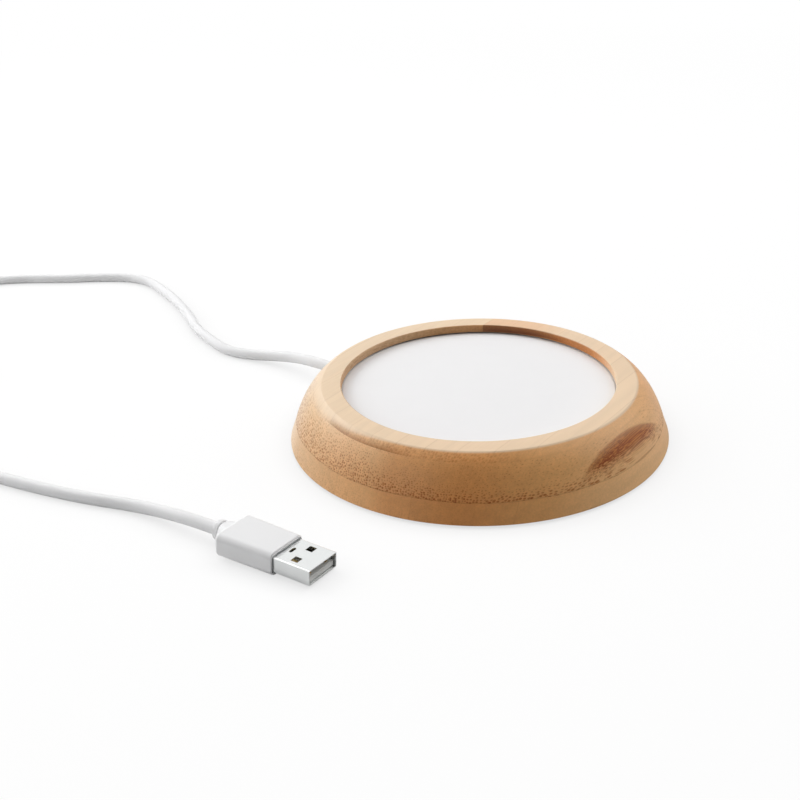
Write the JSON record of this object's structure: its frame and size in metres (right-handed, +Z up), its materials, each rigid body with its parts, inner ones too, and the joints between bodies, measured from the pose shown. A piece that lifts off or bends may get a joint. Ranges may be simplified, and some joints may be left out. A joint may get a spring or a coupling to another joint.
{
  "type": "electric mug warmer",
  "caption": "Round turned-bamboo mug warmer with a sunk white heating plate and a white low-voltage cord ending in a flat plug.",
  "frame": {"origin": "on the table, under the centre of the round body", "axes": "+Z up out of the plate, -Y towards the front, the cord leaves at the back left"},
  "size_m": [0.3021, 0.2334, 0.0188],
  "materials": {
    "bamboo": "satin lacquered laminated bamboo",
    "plate_coat": "soft matt white coating",
    "silicone": "matt",
    "film": "translucent amber film",
    "track": "etched",
    "felt": "glass felt",
    "steel": "zinc plated",
    "carrier_plastic": "moulded",
    "cutout_case": "potted",
    "wire_red": "insulation",
    "wire_black": "insulation",
    "wire_white": "insulation",
    "sleeve": "shrunk",
    "cord_jacket": "satin jacket",
    "cover_plastic": "fine spark-eroded texture",
    "foot_rubber": "matt",
    "tie_strap": "woven",
    "plug_white": "satin moulding",
    "plug_metal": "bright nickel",
    "plug_insulator": "moulded",
    "contact_gold": "flash plated"
  },
  "bodies": {
    "root": {"bamboo_housing": "bamboo", "plate_gasket": "silicone", "heating_plate": "plate_coat", "heater_film_top": "film", "heater_foil": "track", "heater_film_bottom": "film", "insulation_pad": "felt", "pressure_plate": "steel", "clamp_washers": "steel", "clamp_nuts": "steel", "plate_carrier": "carrier_plastic", "carrier_screws": "steel", "thermal_cutout": "cutout_case", "cutout_strap": "steel", "strap_screws": "steel", "lead_live": "wire_red", "lead_return": "wire_black", "lead_link": "wire_white", "heat_sleeves": "sleeve", "cord_bush": "plug_white", "cord_tail": "cord_jacket", "cord_clamp": "carrier_plastic", "clamp_screws": "steel", "base_cover": "cover_plastic", "cover_screws": "steel", "rubber_foot_1": "foot_rubber", "rubber_foot_2": "foot_rubber", "rubber_foot_3": "foot_rubber", "rubber_foot_4": "foot_rubber", "cord_body_side": "cord_jacket", "cord_coil": "cord_jacket", "cord_tie": "tie_strap", "cord_plug_side": "cord_jacket", "plug_overmould": "plug_white", "plug_inner_mould": "plug_insulator", "plug_shell": "plug_metal", "plug_tongue": "plug_insulator", "plug_contacts": "contact_gold"}
  },
  "joints": []
}
